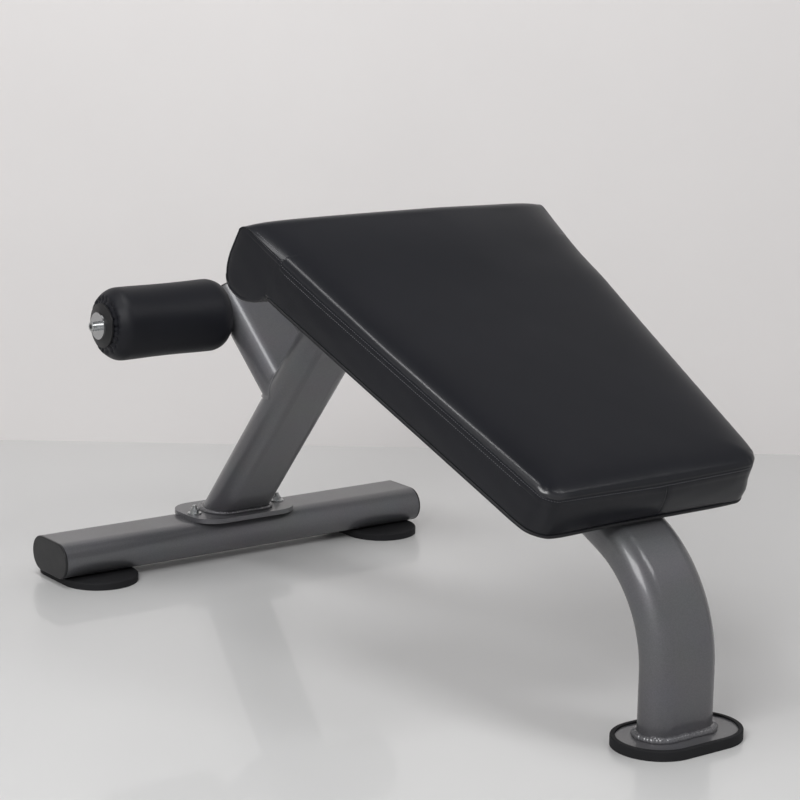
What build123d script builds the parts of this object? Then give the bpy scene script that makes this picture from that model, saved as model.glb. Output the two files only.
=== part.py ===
"""Sit-up bench with a sloping padded board, a knee roll and two foam ankle rollers.

Millimetres, +Z up.  +X runs from the rear stabilizer to the front leg, so a
lying user has the head towards +X.  The origin is on the floor, under the
middle of the overall length.  "left" is -Y and "right" is +Y.
"""

from build123d import *
import os
from math import cos, radians, sin, sqrt, tan

os.makedirs("parts", exist_ok=True)

# ------------------------------------------------------------------ sizes
# flat-oval steel tube, used for every frame member
tube_width = 120.0
tube_depth = 60.0
tube_wall = 3.0

# running and assembly clearances
thread_clearance = 0.05
bolt_hole_clearance = 0.5
bush_clearance = 0.08
end_play = 0.3
plug_clearance = 0.2

# plan of the bench
base_span = 1150.0            # stabilizer axis to front leg axis
stabilizer_length = 722.0     # tube alone, without its end caps
cap_flange = 4.0
cap_plug_depth = 16.0
cap_plug_wall = 3.0
cap_edge_round = 2.0

# feet: the same stadium outline front and rear
foot_length = 204.0
foot_width = 130.0
rear_foot_height = 12.0
rear_foot_inset = 71.0        # foot centre inside the end of the stabilizer tube
rear_foot_round = 2.0
foot_screw_spacing = 70.0
foot_screw_radius = 4.0
foot_screw_head_radius = 8.0
foot_screw_length = 22.0
foot_screw_recess = 1.0       # head set up inside the rubber
front_foot_lead = 5.0         # foot centre ahead of the leg axis
front_plate_thickness = 8.0
boot_floor = 4.0
boot_wall = 7.0
boot_lip = 2.5                # boot rim above the steel plate
boot_round = 2.0

# flange plate that carries the upright on the stabilizer
flange_length = 204.0
flange_width = 130.0
flange_thickness = 8.0
flange_corner = 45.0
base_bolt_spacing = 170.0
base_bolt_lead = 6.0          # bolts ahead of the stabilizer axis
base_bolt_radius = 4.0        # M8
base_nut_flats = 13.0
base_nut_height = 8.0
base_nut_collar = 2.0         # height of the round collar that holds the locking ring
base_nut_collar_radius = 5.8
bolt_tip_chamfer = 0.8
base_head_height = 5.3
base_washer_radius = 12.0
base_washer_thickness = 2.0
base_bolt_end = 5.0           # thread standing out of the nut

# bent frame: upright, top bend, beam under the pad, front bend, front leg
upright_lead = 2.5            # foot of the upright ahead of the stabilizer axis
upright_lean = 40.0           # degrees from vertical, towards the front
pad_slope = 25.0              # degrees from horizontal, falling to the front
top_bend_radius = 250.0
front_bend_radius = 190.0
rear_stub = 12.0              # straight tube past the top bend, to the butt weld
front_stub = 100.0            # straight tube past the front bend, to the butt weld

# arm for the ankle rollers, square to the upright
arm_height = 312.0            # along the upright, from flange to arm axis
arm_length = 228.5            # from upright axis to the open tube end
axle_from_end = 41.0          # axle axis from the open tube end

# padded board
pad_low_height = 296.0        # underside of the pad at its low end
pad_setback = 80.0            # low end of the pad behind the leg axis
pad_low_width = 393.0
pad_high_width = 571.0
pad_thickness = 80.0
pad_corner = 28.0
pad_edge_round = 10.0
pad_back_round = 26.0
roll_front_radius = 58.0      # knee roll, from the notch to its lowest line
roll_back_radius = 38.0       # knee roll, from its lowest line to the back
roll_past_bend = 137.4        # roll's lowest line past the start of the top bend
roll_tube_gap = 0.6           # knee roll above the top bend
vinyl = 1.5
hem_width = 35.0              # vinyl turned in under the board
hem_corner = 10.0
board_thickness = 18.0
board_short = 30.0            # board ends before the knee roll's lowest line
base_cover_thickness = 3.0
base_cover_inset = 3.0

# brackets and screws that hold the pad
bracket_thickness = 4.0
bracket_width = 50.0
bracket_corner = 6.0
bracket_length = 270.0
bracket_low_station = 85.0    # along the pad from its low end
bracket_high_station = 455.0
pad_bolt_spacing = 220.0
pad_bolt_radius = 4.0         # M8
pad_bolt_head_flats = 13.0
pad_bolt_head_height = 5.5
pad_washer_radius = 9.0
pad_washer_thickness = 1.6
t_nut_barrel_radius = 5.0
t_nut_barrel_length = 11.0
t_nut_flange_radius = 11.0
t_nut_flange_thickness = 1.6

# ankle rollers and their axle
axle_radius = 12.5
cross_tube_radius = 17.0      # welded through the arm, carries the axle
cross_tube_bore_clearance = 0.05
thrust_washer_radius = 20.0
thrust_washer_thickness = 1.5
roller_radius = 60.0
roller_length = 236.6         # over the two end cups
roller_inner_round = 30.0
roller_outer_round = 24.0
sleeve_outer_radius = 19.0
sleeve_wall = 2.5
cup_hub_depth = 22.0
inner_cup_radius = 30.0
inner_cup_flange = 2.0
outer_cup_radius = 37.0
outer_cup_flange = 3.0
outer_cup_cone = 3.9
end_washer_radius = 22.5
end_washer_thickness = 3.0
end_screw_radius = 5.0        # M10 socket head
end_screw_depth = 24.0
end_screw_head_radius = 8.0
end_screw_head_height = 12.0
end_screw_head_round = 1.0
end_screw_socket_flats = 8.0
end_screw_socket_depth = 6.0

# ----------------------------------------------------- places worked out
half_depth = tube_depth / 2
rear_reach = foot_length / 2
front_reach = front_foot_lead + foot_width / 2
x_stabilizer = (rear_reach - base_span - front_reach) / 2
x_leg = x_stabilizer + base_span
x_front_foot = x_leg + front_foot_lead
z_stabilizer = rear_foot_height + half_depth
z_stabilizer_top = rear_foot_height + tube_depth
z_flange_top = z_stabilizer_top + flange_thickness
z_front_plate_top = boot_floor + front_plate_thickness

slope = radians(pad_slope)
lean = radians(upright_lean)
up_slope = Vector(-cos(slope), 0, sin(slope))
pad_normal = Vector(sin(slope), 0, cos(slope))
up_upright = Vector(sin(lean), 0, cos(lean))
along_arm = Vector(-cos(lean), 0, sin(lean))

pad_origin = Vector(x_leg - pad_setback, 0, pad_low_height)
beam_drop = bracket_thickness + half_depth


def on_pad(station, height):
    """Point on the middle line, at a station up the slope and a height square to the pad."""
    return pad_origin + up_slope * station + pad_normal * height


def meet(point, direction, other_point, other_direction):
    """Where two lines of the X-Z plane cross."""
    across = direction.X * other_direction.Z - direction.Z * other_direction.X
    gap = other_point - point
    reach = (gap.X * other_direction.Z - gap.Z * other_direction.X) / across
    return point + direction * reach


beam_start = on_pad(0, -beam_drop)
upright_foot = Vector(x_stabilizer + upright_lead, 0, z_flange_top)
top_corner = meet(upright_foot, up_upright, beam_start, up_slope)
front_corner = meet(Vector(x_leg, 0, 0), Vector(0, 0, 1), beam_start, up_slope)
top_turn = radians(90 + pad_slope - upright_lean)
top_tangent = top_bend_radius * tan(top_turn / 2)
front_turn = radians(90 - pad_slope)
front_tangent = front_bend_radius * tan(front_turn / 2)
rear_weld = top_corner - up_slope * (top_tangent + rear_stub)
front_weld = front_corner + up_slope * (front_tangent + front_stub)

arm_root = upright_foot + up_upright * arm_height
arm_end = arm_root + along_arm * arm_length
axle_centre = arm_end - along_arm * axle_from_end

# knee roll: its front arc clears the outside of the top bend, its back arc ends the pad
bend_station = (top_corner - pad_origin).dot(up_slope) - top_tangent
bend_depth = beam_drop + top_bend_radius
roll_station = bend_station + roll_past_bend
pad_length = roll_station + roll_back_radius
roll_reach = top_bend_radius + half_depth + roll_tube_gap + roll_front_radius
roll_height = sqrt(roll_reach**2 - roll_past_bend**2) - bend_depth
roll_lowest = roll_height - roll_front_radius

# stations along the axle, from the middle of the bench outwards
roller_inner_face = tube_width / 2 + thrust_washer_thickness + end_play
roller_outer_face = roller_inner_face + roller_length
axle_half_length = roller_outer_face + end_play

sides = {"left": -1, "right": 1}


def pad_level(height):
    """Plane parallel to the pad, its X up the slope."""
    return Plane(origin=on_pad(0, height), x_dir=up_slope, z_dir=pad_normal)


def save(builder, name):
    """Label a finished piece and write its STEP file."""
    builder.part.label = name
    export_step(builder.part, f"parts/{name}.step")


def oval(inset=0.0, mode=Mode.ADD):
    """Flat-oval tube section, or the same line set inwards."""
    SlotOverall(tube_width - 2 * inset, tube_depth - 2 * inset, mode=mode)


def oval_ring():
    """Section of the tube wall."""
    oval()
    oval(tube_wall, Mode.SUBTRACT)


def hexagon(across_flats):
    """Hexagon of a nut or bolt head."""
    RegularPolygon(across_flats / 2, 6, major_radius=False)


def turned(*outline):
    """Solid of revolution about Z; the outline is a run of (radius, height) points."""
    with BuildPart() as blank:
        with BuildSketch(Plane.XZ):
            with BuildLine():
                Polyline(*outline, close=True)
            make_face()
        revolve(axis=Axis.Z)
    return blank.part


def chamfered_hexagon(across_flats, height):
    """Hexagonal block on Z = 0 with its upper corners turned off at 30 degrees."""
    flat = across_flats / 2
    corner = flat / cos(radians(30))
    lathe = turned(
        (0, 0),
        (corner, 0),
        (corner, height - (corner - flat) * tan(radians(30))),
        (flat, height),
        (0, height),
    )
    with BuildPart() as block:
        with BuildSketch():
            hexagon(across_flats)
        extrude(amount=height)
        add(lathe, mode=Mode.INTERSECT)
    return block.part


def tube_cap(plane, name):
    """Moulded plug for an open tube end; the plane's Z points out of the tube, its X along the oval."""
    with BuildPart() as cap:
        with BuildSketch(plane):
            oval()
        extrude(amount=cap_flange)
        rim = cap.faces().sort_by(Axis(plane.origin, plane.z_dir))[-1].edges()
        fillet(rim, radius=cap_edge_round)
        with BuildSketch(plane):
            oval(tube_wall + plug_clearance)
            oval(tube_wall + plug_clearance + cap_plug_wall, Mode.SUBTRACT)
        extrude(amount=-cap_plug_depth)
    save(cap, name)


# ------------------------------------------------- rear stabilizer and feet
stabilizer_middle = Plane(origin=(x_stabilizer, 0, z_stabilizer), x_dir=(1, 0, 0), z_dir=(0, 1, 0))
x_base_bolts = x_stabilizer + base_bolt_lead
base_bolt_places = [(x_base_bolts, side * base_bolt_spacing / 2) for side in (-1, 1)]


def foot_screw_places(side):
    """Plan positions of the two screws of one rear foot."""
    y_foot = side * (stabilizer_length / 2 - rear_foot_inset)
    return [(x_stabilizer, y_foot + end * foot_screw_spacing / 2) for end in (-1, 1)]


both_foot_screws = foot_screw_places(-1) + foot_screw_places(1)

with BuildPart() as stabilizer_tube:
    with BuildSketch(stabilizer_middle):
        oval_ring()
    extrude(amount=stabilizer_length / 2, both=True)
    with BuildSketch(Plane.XY):
        with Locations(*base_bolt_places):
            Circle(base_bolt_radius + bolt_hole_clearance)
    extrude(amount=z_flange_top, mode=Mode.SUBTRACT)
    with BuildSketch(Plane.XY):
        with Locations(*both_foot_screws):
            Circle(foot_screw_radius + thread_clearance)
    extrude(amount=z_stabilizer, mode=Mode.SUBTRACT)
save(stabilizer_tube, "stabilizer_tube")

for side_name, side in sides.items():
    cap_plane = Plane(
        origin=(x_stabilizer, side * stabilizer_length / 2, z_stabilizer),
        x_dir=(1, 0, 0),
        z_dir=(0, side, 0),
    )
    tube_cap(cap_plane, f"stabilizer_cap_{side_name}")

    with BuildPart() as rear_foot:
        with BuildSketch(Plane.XY):
            with Locations((x_stabilizer, side * (stabilizer_length / 2 - rear_foot_inset))):
                SlotOverall(foot_length, foot_width)
        extrude(amount=rear_foot_height)
        fillet(rear_foot.faces().sort_by(Axis.Z)[-1].edges(), radius=rear_foot_round)
        with Locations(*[Location((x, y, 0), (180, 0, 0)) for x, y in foot_screw_places(side)]):
            CounterSinkHole(
                radius=foot_screw_radius + bolt_hole_clearance,
                counter_sink_radius=foot_screw_head_radius + bolt_hole_clearance,
            )
    save(rear_foot, f"rear_foot_pad_{side_name}")

foot_screw = turned(
    (0, foot_screw_recess),
    (foot_screw_head_radius - foot_screw_recess, foot_screw_recess),
    (foot_screw_radius, foot_screw_head_radius - foot_screw_radius),
    (foot_screw_radius, foot_screw_length),
    (0, foot_screw_length),
)
with BuildPart() as rear_foot_screws:
    with Locations(*[(x, y, 0) for x, y in both_foot_screws]):
        add(foot_screw)
save(rear_foot_screws, "rear_foot_screws")

# --------------------------------- flange plate, its through bolts and nuts
with BuildPart() as base_flange_plate:
    with BuildSketch(Plane.XY.offset(z_stabilizer_top)):
        with Locations((x_stabilizer, 0)):
            RectangleRounded(flange_width, flange_length, flange_corner)
        with Locations(*base_bolt_places):
            Circle(base_bolt_radius + bolt_hole_clearance, mode=Mode.SUBTRACT)
    extrude(amount=flange_thickness)
save(base_flange_plate, "base_flange_plate")

bolt_head = chamfered_hexagon(base_nut_flats, base_head_height)
nut_blank = chamfered_hexagon(base_nut_flats, base_nut_height - base_nut_collar)
z_head_seat = rear_foot_height - base_washer_thickness
z_nut_seat = z_flange_top + base_washer_thickness

with BuildPart() as base_bolts:
    with Locations(*[Location((x, y, z_head_seat), (180, 0, 0)) for x, y in base_bolt_places]):
        add(bolt_head)
    with BuildSketch(Plane.XY.offset(z_head_seat)):
        with Locations(*base_bolt_places):
            Circle(base_bolt_radius)
    extrude(amount=z_nut_seat + base_nut_height + base_bolt_end - z_head_seat)
    bolt_tips = base_bolts.faces().filter_by(Axis.Z).group_by(Axis.Z)[-1]
    chamfer(bolt_tips.edges(), length=bolt_tip_chamfer)
save(base_bolts, "base_bolts")

with BuildPart() as base_nuts:
    with Locations(*[(x, y, z_nut_seat) for x, y in base_bolt_places]):
        add(nut_blank)
    with BuildSketch(Plane.XY.offset(z_nut_seat)):
        with Locations(*base_bolt_places):
            Circle(base_nut_collar_radius)
    extrude(amount=base_nut_height)
    with BuildSketch(Plane.XY.offset(z_nut_seat)):
        with Locations(*base_bolt_places):
            Circle(base_bolt_radius + thread_clearance)
    extrude(amount=base_nut_height, mode=Mode.SUBTRACT)
save(base_nuts, "base_nuts")

with BuildPart() as base_washers:
    for z_washer in (z_flange_top, rear_foot_height - base_washer_thickness):
        with BuildSketch(Plane.XY.offset(z_washer)):
            with Locations(*base_bolt_places):
                Circle(base_washer_radius)
                Circle(base_bolt_radius + bolt_hole_clearance, mode=Mode.SUBTRACT)
        extrude(amount=base_washer_thickness)
save(base_washers, "base_washers")

# --------------------------------------------------------- bent frame tubes
# swept from below the plate, then cut level to stand on it
upright_start = upright_foot - up_upright * tube_depth
with BuildPart() as upright_tube:
    with BuildLine():
        FilletPolyline(upright_start, top_corner, rear_weld, radius=top_bend_radius)
    with BuildSketch(Plane(origin=upright_start, x_dir=(0, 1, 0), z_dir=up_upright)):
        oval_ring()
    sweep()
    split(bisect_by=Plane.XY.offset(z_flange_top), keep=Keep.TOP)
save(upright_tube, "upright_tube")

with BuildPart() as beam_tube:
    with BuildSketch(Plane(origin=rear_weld, x_dir=(0, 1, 0), z_dir=-up_slope)):
        oval_ring()
    extrude(amount=(rear_weld - front_weld).length)
save(beam_tube, "beam_tube")

front_leg_foot = Vector(x_leg, 0, z_front_plate_top)
with BuildPart() as front_leg_tube:
    with BuildLine():
        FilletPolyline(front_leg_foot, front_corner, front_weld, radius=front_bend_radius)
    with BuildSketch(Plane(origin=front_leg_foot, x_dir=(0, 1, 0), z_dir=(0, 0, 1))):
        oval_ring()
    sweep()
save(front_leg_tube, "front_leg_tube")

# ------------------------------------------- front foot: plate and rubber boot
with BuildPart() as front_foot_plate:
    with BuildSketch(Plane.XY.offset(boot_floor)):
        with Locations((x_front_foot, 0)):
            SlotOverall(foot_length - 2 * boot_wall, foot_width - 2 * boot_wall, rotation=90)
    extrude(amount=front_plate_thickness)
save(front_foot_plate, "front_foot_plate")

with BuildPart() as front_foot_boot:
    with BuildSketch(Plane.XY):
        with Locations((x_front_foot, 0)):
            SlotOverall(foot_length, foot_width, rotation=90)
    extrude(amount=z_front_plate_top + boot_lip)
    fillet(front_foot_boot.faces().sort_by(Axis.Z)[-1].edges(), radius=boot_round)
    with BuildSketch(Plane.XY.offset(boot_floor)):
        with Locations((x_front_foot, 0)):
            SlotOverall(foot_length - 2 * boot_wall, foot_width - 2 * boot_wall, rotation=90)
    extrude(amount=foot_width, mode=Mode.SUBTRACT)
save(front_foot_boot, "front_foot_boot")

# ---------------------------------------- roller arm, its cap and cross tube
arm_section = Plane(origin=arm_root, x_dir=(0, 1, 0), z_dir=along_arm)
axle_line = Plane(origin=axle_centre, x_dir=(1, 0, 0), z_dir=(0, 1, 0))

with BuildPart() as rear_arm_tube:
    with BuildSketch(arm_section):
        oval_ring()
    extrude(amount=arm_length)
    # coped to the outside of the upright
    with BuildSketch(Plane(origin=upright_foot, x_dir=(0, 1, 0), z_dir=up_upright)):
        oval()
    extrude(amount=2 * arm_height, mode=Mode.SUBTRACT)
    with BuildSketch(axle_line):
        Circle(cross_tube_radius)
    extrude(amount=tube_width, both=True, mode=Mode.SUBTRACT)
save(rear_arm_tube, "rear_arm_tube")

tube_cap(Plane(origin=arm_end, x_dir=(0, 1, 0), z_dir=along_arm), "rear_arm_cap")

with BuildPart() as axle_cross_tube:
    with BuildSketch(axle_line):
        Circle(cross_tube_radius)
        Circle(axle_radius + cross_tube_bore_clearance, mode=Mode.SUBTRACT)
    extrude(amount=tube_width / 2, both=True)
save(axle_cross_tube, "axle_cross_tube")

with BuildPart() as roller_axle:
    with BuildSketch(axle_line):
        Circle(axle_radius)
    extrude(amount=axle_half_length, both=True)
    with BuildSketch(axle_line.offset(axle_half_length), axle_line.offset(-axle_half_length)):
        Circle(end_screw_radius + thread_clearance)
    extrude(amount=end_screw_depth + thread_clearance, both=True, mode=Mode.SUBTRACT)
save(roller_axle, "roller_axle")

# -------------------------------------------------------- foam ankle rollers
def outward(side, distance=0.0):
    """Plane across the axle, its Z pointing away from the middle of the bench."""
    return Plane(origin=axle_centre + Vector(0, side * distance, 0), x_dir=(1, 0, 0), z_dir=(0, side, 0))


def placed(solid, side):
    """A piece turned about Z, laid along the axle on one side."""
    return outward(side).location * solid


def padded_sleeve(inset):
    """Rounded roller outline, set in by a distance from its outside."""
    start = roller_inner_face + inner_cup_flange + inset
    end = roller_outer_face - outer_cup_cone - outer_cup_flange - inset
    with BuildPart() as blank:
        with BuildSketch(Plane.XZ):
            with Locations((0, start)):
                Rectangle(roller_radius - inset, end - start, align=(Align.MIN, Align.MIN))
        revolve(axis=Axis.Z)
        rims = blank.edges().filter_by(GeomType.CIRCLE).sort_by(Axis.Z)
        fillet(rims[0], radius=roller_inner_round - inset)
        rims = blank.edges().filter_by(GeomType.CIRCLE).sort_by(Axis.Z)
        fillet(rims[-1], radius=roller_outer_round - inset)
        with BuildSketch(Plane.XY):
            Circle(sleeve_outer_radius)
        extrude(amount=roller_outer_face, mode=Mode.SUBTRACT)
    return blank.part


roller_skin = padded_sleeve(0)
roller_core = padded_sleeve(vinyl)
sleeve_bore = sleeve_outer_radius - sleeve_wall
bush_bore = axle_radius + bush_clearance
sleeve_start = roller_inner_face + inner_cup_flange
sleeve_end = roller_outer_face - outer_cup_cone - outer_cup_flange

inner_cup = turned(
    (bush_bore, roller_inner_face),
    (inner_cup_radius, roller_inner_face),
    (inner_cup_radius, sleeve_start),
    (sleeve_bore, sleeve_start),
    (sleeve_bore, sleeve_start + cup_hub_depth),
    (bush_bore, sleeve_start + cup_hub_depth),
)
outer_cup = turned(
    (bush_bore, roller_outer_face),
    (end_washer_radius, roller_outer_face),
    (outer_cup_radius, roller_outer_face - outer_cup_cone),
    (outer_cup_radius, sleeve_end),
    (sleeve_bore, sleeve_end),
    (sleeve_bore, sleeve_end - cup_hub_depth),
    (bush_bore, sleeve_end - cup_hub_depth),
)

for side_name, side in sides.items():
    with BuildPart() as roller_sleeve:
        with BuildSketch(outward(side, sleeve_start)):
            Circle(sleeve_outer_radius)
            Circle(sleeve_bore, mode=Mode.SUBTRACT)
        extrude(amount=sleeve_end - sleeve_start)
    save(roller_sleeve, f"roller_sleeve_{side_name}")

    with BuildPart() as roller_foam:
        add(placed(roller_core, side))
    save(roller_foam, f"roller_foam_{side_name}")

    with BuildPart() as roller_cover:
        add(placed(roller_skin, side))
        add(placed(roller_core, side), mode=Mode.SUBTRACT)
    save(roller_cover, f"roller_cover_{side_name}")

    with BuildPart() as roller_inner_cup:
        add(placed(inner_cup, side))
    save(roller_inner_cup, f"roller_inner_cup_{side_name}")

    with BuildPart() as roller_outer_cup:
        add(placed(outer_cup, side))
    save(roller_outer_cup, f"roller_outer_cup_{side_name}")

with BuildPart() as thrust_washers:
    for side in sides.values():
        with BuildSketch(outward(side, tube_width / 2)):
            Circle(thrust_washer_radius)
            Circle(axle_radius + cross_tube_bore_clearance, mode=Mode.SUBTRACT)
        extrude(amount=thrust_washer_thickness)
save(thrust_washers, "thrust_washers")

with BuildPart() as end_washers:
    for side in sides.values():
        with BuildSketch(outward(side, axle_half_length)):
            Circle(end_washer_radius)
            Circle(end_screw_radius + bolt_hole_clearance, mode=Mode.SUBTRACT)
        extrude(amount=end_washer_thickness)
save(end_washers, "end_washers")

end_screw_seat = axle_half_length + end_washer_thickness
with BuildPart() as end_screws:
    for side in sides.values():
        with BuildSketch(outward(side, end_screw_seat)):
            Circle(end_screw_head_radius)
        extrude(amount=end_screw_head_height)
        with BuildSketch(outward(side, end_screw_seat)):
            Circle(end_screw_radius)
        extrude(amount=-(end_washer_thickness + end_screw_depth))
        with BuildSketch(outward(side, end_screw_seat + end_screw_head_height)):
            hexagon(end_screw_socket_flats)
        extrude(amount=-end_screw_socket_depth, mode=Mode.SUBTRACT)
    head_rims = end_screws.edges().filter_by(GeomType.CIRCLE).filter_by(
        lambda edge: abs(abs(edge.center().Y) - end_screw_seat - end_screw_head_height) < thread_clearance
    )
    fillet(head_rims, radius=end_screw_head_round)
save(end_screws, "end_screws")

# ------------------------------------------------ brackets and padded board
bracket_stations = (bracket_low_station, bracket_high_station)
pad_bolt_places = [
    (station, side * pad_bolt_spacing / 2) for station in bracket_stations for side in (-1, 1)
]
board_base = base_cover_thickness + vinyl
board_top = board_base + board_thickness
board_end = roll_station - board_short


def pad_outline(inset, corner):
    """Plan of the pad, set in from its edges: it widens evenly up the slope."""
    flare = (pad_high_width - pad_low_width) / 2 / pad_length
    low = pad_low_width / 2 + flare * inset - inset * sqrt(1 + flare**2)
    high = low + flare * (pad_length - 2 * inset)
    with BuildSketch(mode=Mode.PRIVATE) as outline:
        with BuildLine():
            Polyline(
                (inset, -low),
                (pad_length - inset, -high),
                (pad_length - inset, high),
                (inset, low),
                close=True,
            )
        make_face()
        fillet(outline.vertices().sort_by(Axis.X)[:2], radius=corner)
    return outline.sketch


def pad_block(inset):
    """Whole pad with its knee roll, set in by a distance from its outside."""
    base = base_cover_thickness + inset
    top = pad_thickness - inset
    back = pad_length - inset
    front_radius = roll_front_radius - inset
    back_radius = roll_back_radius - inset
    edge_radius = pad_back_round - inset
    lowest = roll_lowest + inset
    notch = roll_station - sqrt(front_radius**2 - (roll_height - base) ** 2)
    side_profile = Plane(origin=pad_origin, x_dir=up_slope, z_dir=up_slope.cross(pad_normal))
    with BuildPart() as block:
        with BuildSketch(side_profile):
            with BuildLine():
                Line((inset, base), (notch, base))
                RadiusArc((notch, base), (roll_station, lowest), -front_radius)
                RadiusArc((roll_station, lowest), (back, lowest + back_radius), -back_radius)
                Line((back, lowest + back_radius), (back, top - edge_radius))
                RadiusArc((back, top - edge_radius), (back - edge_radius, top), -edge_radius)
                Line((back - edge_radius, top), (inset, top))
                Line((inset, top), (inset, base))
            make_face()
        extrude(amount=pad_high_width, both=True)
        with BuildSketch(pad_level(lowest)):
            add(pad_outline(inset, pad_corner - inset))
        extrude(amount=top - lowest, mode=Mode.INTERSECT)
        rim = block.faces().sort_by(Axis(pad_origin, pad_normal))[-1].edges()
        fillet(rim.sort_by(Axis(pad_origin, up_slope))[:-1], radius=pad_edge_round - inset)
    return block.part


def pad_sheet(inset, corner, height, thickness, end_station):
    """Flat sheet with the pad's plan, resting at a height and cut square at a station."""
    with BuildPart() as sheet:
        with BuildSketch(pad_level(height)):
            add(pad_outline(inset, corner))
        extrude(amount=thickness)
        split(bisect_by=Plane(origin=on_pad(end_station, 0), z_dir=up_slope), keep=Keep.BOTTOM)
    return sheet.part


def pad_holes(height, thickness, radius):
    """Pegs at the pad's bolt places, for cutting holes."""
    with BuildPart() as pegs:
        with BuildSketch(pad_level(height)):
            with Locations(*pad_bolt_places):
                Circle(radius)
        extrude(amount=thickness)
    return pegs.part


notch_station = roll_station - sqrt(roll_front_radius**2 - (roll_height - base_cover_thickness) ** 2)
pad_outside = pad_block(0)
pad_inside = pad_block(vinyl)
board_blank = pad_sheet(vinyl, pad_corner - vinyl, board_base, board_thickness, board_end)
hem_window = pad_sheet(hem_width, hem_corner, base_cover_thickness, vinyl, notch_station - hem_width)
clear_bolt_radius = pad_bolt_radius + bolt_hole_clearance

with BuildPart() as pad_board:
    add(board_blank)
    add(pad_holes(board_base, board_thickness, t_nut_barrel_radius), mode=Mode.SUBTRACT)
save(pad_board, "pad_board")

with BuildPart() as pad_foam:
    add(pad_inside)
    add(board_blank, mode=Mode.SUBTRACT)
    add(pad_holes(board_top, t_nut_flange_thickness, t_nut_flange_radius), mode=Mode.SUBTRACT)
save(pad_foam, "pad_foam")

with BuildPart() as pad_cover:
    add(pad_outside)
    add(pad_inside, mode=Mode.SUBTRACT)
    add(hem_window, mode=Mode.SUBTRACT)
save(pad_cover, "pad_cover")

with BuildPart() as pad_base_cover:
    base_cover_corner = pad_corner - base_cover_inset
    base_cover_end = notch_station - base_cover_inset
    add(pad_sheet(base_cover_inset, base_cover_corner, 0, base_cover_thickness, base_cover_end))
    add(pad_holes(0, base_cover_thickness, clear_bolt_radius), mode=Mode.SUBTRACT)
save(pad_base_cover, "pad_base_cover")

with BuildPart() as pad_brackets:
    with BuildSketch(pad_level(-bracket_thickness)):
        for station in bracket_stations:
            with Locations((station, 0)):
                RectangleRounded(bracket_width, bracket_length, bracket_corner)
        with Locations(*pad_bolt_places):
            Circle(clear_bolt_radius, mode=Mode.SUBTRACT)
    extrude(amount=bracket_thickness)
save(pad_brackets, "pad_brackets")

washer_level = -bracket_thickness - pad_washer_thickness
with BuildPart() as pad_washers:
    with BuildSketch(pad_level(washer_level)):
        with Locations(*pad_bolt_places):
            Circle(pad_washer_radius)
            Circle(clear_bolt_radius, mode=Mode.SUBTRACT)
    extrude(amount=pad_washer_thickness)
save(pad_washers, "pad_washers")

pad_bolt_head = chamfered_hexagon(pad_bolt_head_flats, pad_bolt_head_height)
head_places = [Location((x, y, 0), (180, 0, 0)) for x, y in pad_bolt_places]

with BuildPart() as pad_bolts:
    with Locations(*[pad_level(washer_level).location * place for place in head_places]):
        add(pad_bolt_head)
    with BuildSketch(pad_level(washer_level)):
        with Locations(*pad_bolt_places):
            Circle(pad_bolt_radius)
    extrude(amount=board_top - washer_level)
save(pad_bolts, "pad_bolts")

with BuildPart() as pad_t_nuts:
    with BuildSketch(pad_level(board_top)):
        with Locations(*pad_bolt_places):
            Circle(t_nut_flange_radius)
            Circle(pad_bolt_radius + thread_clearance, mode=Mode.SUBTRACT)
    extrude(amount=t_nut_flange_thickness)
    with BuildSketch(pad_level(board_top)):
        with Locations(*pad_bolt_places):
            Circle(t_nut_barrel_radius)
            Circle(pad_bolt_radius + thread_clearance, mode=Mode.SUBTRACT)
    extrude(amount=-t_nut_barrel_length)
save(pad_t_nuts, "pad_t_nuts")
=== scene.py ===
from math import cos, pi, radians, sin, sqrt

import bmesh
import bpy
import numpy as np
from mathutils import Matrix, Vector


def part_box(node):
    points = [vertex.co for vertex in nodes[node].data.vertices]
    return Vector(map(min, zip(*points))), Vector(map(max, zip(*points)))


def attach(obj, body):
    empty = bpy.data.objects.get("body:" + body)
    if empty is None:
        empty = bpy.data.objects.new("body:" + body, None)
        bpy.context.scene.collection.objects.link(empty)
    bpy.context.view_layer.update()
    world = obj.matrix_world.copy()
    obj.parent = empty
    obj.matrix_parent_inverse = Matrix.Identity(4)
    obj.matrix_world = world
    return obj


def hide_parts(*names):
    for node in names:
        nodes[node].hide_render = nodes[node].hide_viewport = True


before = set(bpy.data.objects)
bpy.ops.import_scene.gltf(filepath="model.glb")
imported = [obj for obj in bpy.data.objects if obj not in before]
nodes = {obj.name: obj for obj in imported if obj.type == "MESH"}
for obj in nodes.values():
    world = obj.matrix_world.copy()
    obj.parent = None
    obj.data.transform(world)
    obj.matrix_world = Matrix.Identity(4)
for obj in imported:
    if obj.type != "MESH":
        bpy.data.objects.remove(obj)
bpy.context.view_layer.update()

scene = bpy.context.scene


# ---------------------------------------------------------------- camera
# A long lens a little above the pad, looking at the bench across its low end.
# It is rolled by about a degree, as a hand-levelled tripod is.
turn, drop, roll = radians(53.95), radians(11.99), radians(0.96)
ahead = Vector((-sin(turn) * cos(drop), cos(turn) * cos(drop), -sin(drop)))
level = Vector((cos(turn), sin(turn), 0))
upward = level.cross(ahead)
camera_right = level * cos(roll) + upward * sin(roll)
camera_up = upward * cos(roll) - level * sin(roll)

camera = bpy.data.objects.new("camera", bpy.data.cameras.new("camera"))
camera.data.lens = 106.31
camera.data.sensor_width = 36.0
camera.data.clip_end = 50.0
camera.matrix_world = (
    Matrix.Translation((2.8747, -2.1416, 1.1335))
    @ Matrix((camera_right, camera_up, -ahead)).transposed().to_4x4()
)
scene.collection.objects.link(camera)
scene.camera = camera


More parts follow.
